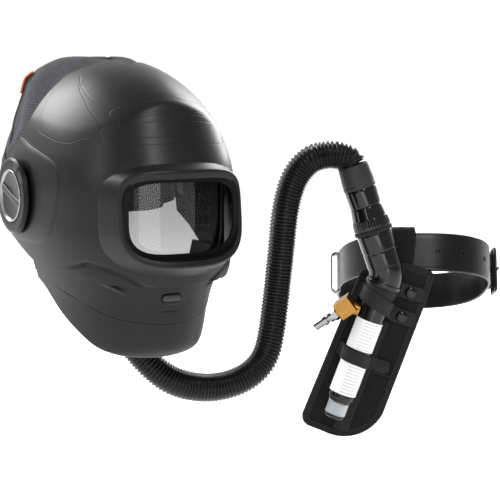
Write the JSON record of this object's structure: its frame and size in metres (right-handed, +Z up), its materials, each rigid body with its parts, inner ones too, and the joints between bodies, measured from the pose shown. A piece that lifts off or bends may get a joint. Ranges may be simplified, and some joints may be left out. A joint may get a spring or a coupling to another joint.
{
  "type": "powered air respirator",
  "caption": "Hard helmet with a lifting face shield and clear visor, fed through a corrugated breathing tube from a belt-worn air regulator.",
  "frame": {"origin": "middle of the shield's pivot axis, level with the wearer's temples", "axes": "+Z up, the helmet faces -Y, +X towards the wearer's left, where the belt set hangs"},
  "size_m": [0.7256, 0.3996, 0.4806],
  "materials": {
    "shell": "fine grained satin",
    "frame_plastic": "satin",
    "lens": "polished",
    "seal": "matt",
    "hub": "satin",
    "knob": "satin",
    "steel": "brushed",
    "cover_fabric": "heathered weave",
    "tab": "coated webbing",
    "duct": "gloss",
    "cuff": "satin",
    "hose": "corrugated gloss",
    "band": "satin",
    "pad": "soft knit over foam",
    "tube": "piano black gloss",
    "label": "coated paper",
    "brass": "machined",
    "flow_knob": "satin",
    "nickel": "nickel plated",
    "nylon": "ballistic weave",
    "binding": "grosgrain",
    "snap": "enamelled dome",
    "leather": "smooth satin",
    "buckle": "black enamel"
  },
  "bodies": {
    "helmet": {"inner_frame": "frame_plastic", "side_plate_right": "frame_plastic", "side_plate_left": "frame_plastic", "clear_visor": "lens", "visor_seal": "seal", "chin_bar": "frame_plastic", "throat_bib": "frame_plastic", "hub_right": "hub", "hub_left": "hub", "pivot_bolts": "steel", "head_cover": "cover_fabric", "pull_tab": "tab", "air_duct": "duct", "duct_socket": "duct", "hose_cuff_helmet": "cuff", "breathing_hose": "hose", "hose_cuff_valve": "cuff", "connector_tube": "tube", "tube_ring": "tube", "valve_tube": "tube", "elbow": "tube", "elbow_ring": "tube", "vortex_tube": "tube", "label_sleeves": "label", "vortex_generator": "brass", "end_plug": "hub", "brass_fitting": "brass", "air_plug": "nickel", "holster_panel": "nylon", "holster_binding": "binding", "belt_loop": "nylon", "hold_straps": "nylon", "strap_snaps": "snap", "waist_belt": "leather", "belt_keeper": "leather", "buckle_frame": "buckle", "buckle_fold": "leather"},
    "shield": {"weld_shield": "shell", "shield_pod_right": "shell", "shield_pod_left": "shell", "filter_frame": "frame_plastic"},
    "chin_button": {"chin_latch": "frame_plastic"},
    "right_knob": {"knob_right": "knob"},
    "left_knob": {"knob_left": "knob"},
    "headgear": {"headband": "band", "pivot_arms": "band", "crown_straps": "band", "brow_pad": "pad", "rear_pad": "pad", "ratchet_housing": "band"},
    "ratchet": {"ratchet_knob": "hub", "ratchet_pinion": "steel"},
    "collar": {"coupling_collar": "tube"},
    "flow_valve": {"control_knob": "flow_knob", "knob_cap": "hub", "valve_stem": "steel"},
    "prong": {"buckle_prong": "buckle"}
  },
  "joints": [
    {"name": "shield_flip", "type": "hinge", "parent": "helmet", "child": "shield", "pos_m": [0, 0, 0], "axis": [-1, 0, 0], "range_deg": [0, 60], "deforming": ["head_cover"]},
    {"name": "latch_press", "type": "slide", "parent": "helmet", "child": "chin_button", "axis": [0, 1, 0], "range_m": [0, 0.0015], "stiffness_N_per_m": 600},
    {"name": "right_knob_turn", "type": "hinge", "parent": "helmet", "child": "right_knob", "pos_m": [0, 0, 0], "axis": [-1, 0, 0], "range_deg": [0, 180]},
    {"name": "left_knob_turn", "type": "hinge", "parent": "helmet", "child": "left_knob", "pos_m": [0, 0, 0], "axis": [1, 0, 0], "range_deg": [0, 180]},
    {"name": "headgear_tilt", "type": "hinge", "parent": "helmet", "child": "headgear", "pos_m": [0, 0, 0], "axis": [1, 0, 0], "range_deg": [-8, 1]},
    {"name": "ratchet_turn", "type": "hinge", "parent": "headgear", "child": "ratchet", "pos_m": [0, 0.12395, 0.02688], "axis": [0, 0.9848, -0.1736], "continuous": true},
    {"name": "collar_turn", "type": "hinge", "parent": "helmet", "child": "collar", "pos_m": [0.35, -0.067, -0.115], "axis": [-0.2676, 0.1545, 0.9511], "range_deg": [0, 30]},
    {"name": "flow_turn", "type": "hinge", "parent": "helmet", "child": "flow_valve", "pos_m": [0.35, -0.067, -0.115], "axis": [0.2962, -0.171, 0.9397], "range_deg": [0, 270]},
    {"name": "prong_swing", "type": "hinge", "parent": "helmet", "child": "prong", "pos_m": [0.56521, -0.00775, -0.13332], "axis": [0.1628, 0.2819, 0.9455], "range_deg": [0, 100]}
  ]
}
